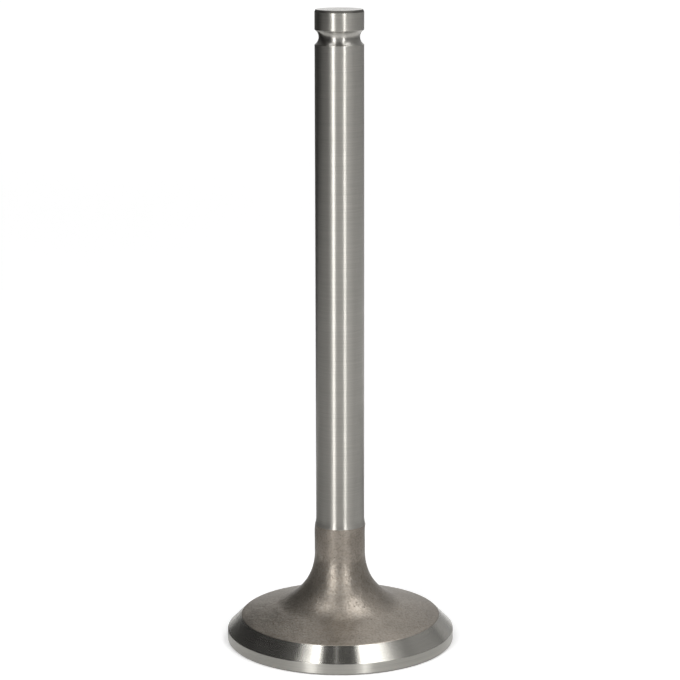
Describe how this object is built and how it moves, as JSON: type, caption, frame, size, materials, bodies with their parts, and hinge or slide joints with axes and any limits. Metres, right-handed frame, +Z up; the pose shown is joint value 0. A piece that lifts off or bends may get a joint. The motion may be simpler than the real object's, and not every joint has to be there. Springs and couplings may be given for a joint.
{
  "type": "engine valve",
  "caption": "Poppet valve: long ground stem with a round ring groove for keepers near the tip, forged neck flaring into a disc head with a ground conical seat and turned rim.",
  "frame": {"origin": "centre of the flat combustion face, which the valve stands on", "axes": "+Z up the stem, from the head to the tip; X and Y are any pair across it, because the valve is round"},
  "size_m": [0.0472, 0.0472, 0.1313],
  "materials": {
    "steel": "stem and seat ground bright, rim and faces turned, neck and back of the head as forged"
  },
  "bodies": {
    "root": {"valve": "steel"}
  },
  "joints": []
}
